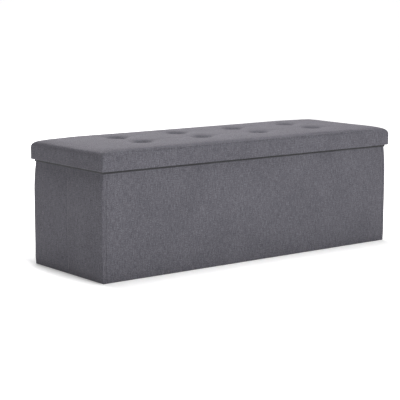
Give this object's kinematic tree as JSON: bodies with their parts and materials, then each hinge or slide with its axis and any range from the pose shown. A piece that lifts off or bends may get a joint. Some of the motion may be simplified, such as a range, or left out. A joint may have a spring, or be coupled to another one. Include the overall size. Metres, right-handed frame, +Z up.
{
  "type": "storage bench",
  "caption": "Long folding storage bench: a fabric-covered board box with a fold-up floor board and a padded, tufted lid that lifts off.",
  "frame": {"origin": "on the floor under the middle of the bench", "axes": "+X along the bench's length to its right end, -Y to the front, +Z up"},
  "size_m": [1.11, 0.38, 0.365],
  "materials": {
    "grey_fabric": "matte",
    "black_lining": "matte",
    "fibreboard": "matte",
    "seat_foam": "matte",
    "black_ribbon": "matte",
    "tuft_cord": "matte",
    "washer_plastic": "satin",
    "steel_brad": "satin"
  },
  "bodies": {
    "body": {"front_board": "fibreboard", "back_board": "fibreboard", "left_end_front_board": "fibreboard", "left_end_back_board": "fibreboard", "right_end_front_board": "fibreboard", "right_end_back_board": "fibreboard", "front_cover": "grey_fabric", "back_cover": "grey_fabric", "left_end_cover": "grey_fabric", "right_end_cover": "grey_fabric", "front_lining": "black_lining", "back_lining": "black_lining", "left_end_lining": "black_lining", "right_end_lining": "black_lining", "flap_hinge_strip": "black_lining"},
    "floor_flap": {"floor_board": "fibreboard", "floor_sleeve": "black_lining", "floor_pull_tab": "black_ribbon"},
    "lid": {"lid_board": "fibreboard", "lid_front_rail": "fibreboard", "lid_back_rail": "fibreboard", "lid_left_rail": "fibreboard", "lid_right_rail": "fibreboard", "lid_lining": "black_lining", "seat_foam": "seat_foam", "seat_cover": "grey_fabric", "tuft_button_1": "grey_fabric", "tuft_button_2": "grey_fabric", "tuft_button_3": "grey_fabric", "tuft_button_4": "grey_fabric", "tuft_button_5": "grey_fabric", "tuft_button_6": "grey_fabric", "tuft_button_7": "grey_fabric", "tuft_button_8": "grey_fabric", "tuft_cord_1": "tuft_cord", "tuft_cord_2": "tuft_cord", "tuft_cord_3": "tuft_cord", "tuft_cord_4": "tuft_cord", "tuft_cord_5": "tuft_cord", "tuft_cord_6": "tuft_cord", "tuft_cord_7": "tuft_cord", "tuft_cord_8": "tuft_cord", "tuft_washer_1": "washer_plastic", "tuft_washer_2": "washer_plastic", "tuft_washer_3": "washer_plastic", "tuft_washer_4": "washer_plastic", "tuft_washer_5": "washer_plastic", "tuft_washer_6": "washer_plastic", "tuft_washer_7": "washer_plastic", "tuft_washer_8": "washer_plastic", "rail_brad_1": "steel_brad", "rail_brad_2": "steel_brad", "rail_brad_3": "steel_brad", "rail_brad_4": "steel_brad", "rail_brad_5": "steel_brad", "rail_brad_6": "steel_brad", "rail_brad_7": "steel_brad", "rail_brad_8": "steel_brad", "rail_brad_9": "steel_brad", "rail_brad_10": "steel_brad"}
  },
  "joints": [
    {"name": "lid_lift", "type": "slide", "parent": "body", "child": "lid", "axis": [0, 0, 1], "range_m": [0, 0.4]},
    {"name": "floor_flap_fold", "type": "hinge", "parent": "body", "child": "floor_flap", "pos_m": [0, 0.166, 0.0075], "axis": [-1, 0, 0], "range_deg": [0, 88]}
  ]
}
